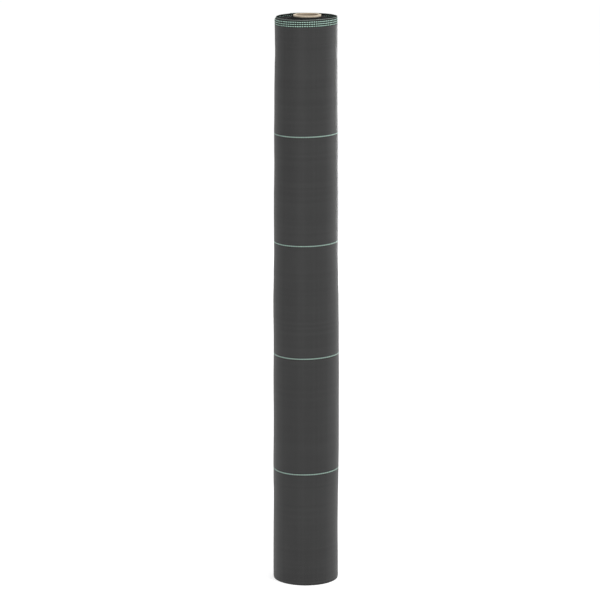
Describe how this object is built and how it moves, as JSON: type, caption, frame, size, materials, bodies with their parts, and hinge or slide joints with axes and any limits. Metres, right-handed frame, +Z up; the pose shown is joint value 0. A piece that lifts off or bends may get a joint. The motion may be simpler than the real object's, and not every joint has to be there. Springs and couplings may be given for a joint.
{
  "type": "roll of weed control sheet",
  "caption": "Upright roll of black woven weed control sheet wound on a cardboard tube, with green edge and marker yarns and a taped free end that lifts off the roll",
  "frame": {"origin": "on the tube's axis, in the plane that the roll stands on", "axes": "+Z up along the tube's axis; -Y towards the side that the picture shows; +Y towards the free end of the sheet"},
  "size_m": [0.1118, 0.1123, 1.004],
  "materials": {
    "woven_sheet": "satin woven polypropylene tape",
    "green_yarn": "satin polypropylene tape",
    "cardboard": "matt spiral-wound board",
    "tape": "glossy adhesive film"
  },
  "bodies": {
    "roll": {"core_tube": "cardboard", "core_start_tape": "tape", "sheet_wound_turns": "woven_sheet", "sheet_outer_turns": "woven_sheet", "selvedge_yarn_1": "green_yarn", "selvedge_yarn_2": "green_yarn", "selvedge_yarn_3": "green_yarn", "marker_yarn_1": "green_yarn", "marker_yarn_2": "green_yarn", "marker_yarn_3": "green_yarn", "marker_yarn_4": "green_yarn"},
    "free_end_1": {"sheet_end_strip_1": "woven_sheet", "selvedge_yarn_1_on_strip_1": "green_yarn", "selvedge_yarn_2_on_strip_1": "green_yarn", "selvedge_yarn_3_on_strip_1": "green_yarn", "marker_yarn_1_on_strip_1": "green_yarn", "marker_yarn_2_on_strip_1": "green_yarn", "marker_yarn_3_on_strip_1": "green_yarn", "marker_yarn_4_on_strip_1": "green_yarn"},
    "free_end_2": {"sheet_end_strip_2": "woven_sheet", "selvedge_yarn_1_on_strip_2": "green_yarn", "selvedge_yarn_2_on_strip_2": "green_yarn", "selvedge_yarn_3_on_strip_2": "green_yarn", "marker_yarn_1_on_strip_2": "green_yarn", "marker_yarn_2_on_strip_2": "green_yarn", "marker_yarn_3_on_strip_2": "green_yarn", "marker_yarn_4_on_strip_2": "green_yarn"},
    "free_end_3": {"sheet_end_strip_3": "woven_sheet", "closing_tape_top": "tape", "closing_tape_middle": "tape", "closing_tape_bottom": "tape", "selvedge_yarn_1_on_strip_3": "green_yarn", "selvedge_yarn_2_on_strip_3": "green_yarn", "selvedge_yarn_3_on_strip_3": "green_yarn", "marker_yarn_1_on_strip_3": "green_yarn", "marker_yarn_2_on_strip_3": "green_yarn", "marker_yarn_3_on_strip_3": "green_yarn", "marker_yarn_4_on_strip_3": "green_yarn"}
  },
  "joints": [
    {"name": "free_end_bend_1", "type": "hinge", "parent": "roll", "child": "free_end_1", "pos_m": [0.0499, 0.02434, 0], "axis": [0, 0, -1], "range_deg": [0, 32], "stiffness_Nm_per_rad": 0.01},
    {"name": "free_end_bend_2", "type": "hinge", "parent": "free_end_1", "child": "free_end_2", "pos_m": [0.02947, 0.04716, 0], "axis": [0, 0, -1], "range_deg": [0, 32], "stiffness_Nm_per_rad": 0.01},
    {"name": "free_end_bend_3", "type": "hinge", "parent": "free_end_2", "child": "free_end_3", "pos_m": [0, 0.05569, 0], "axis": [0, 0, -1], "range_deg": [0, 32], "stiffness_Nm_per_rad": 0.01}
  ],
  "couplings": [
    {"joint": "free_end_bend_2", "follows": "free_end_bend_1", "ratio": 1},
    {"joint": "free_end_bend_3", "follows": "free_end_bend_1", "ratio": 1}
  ]
}
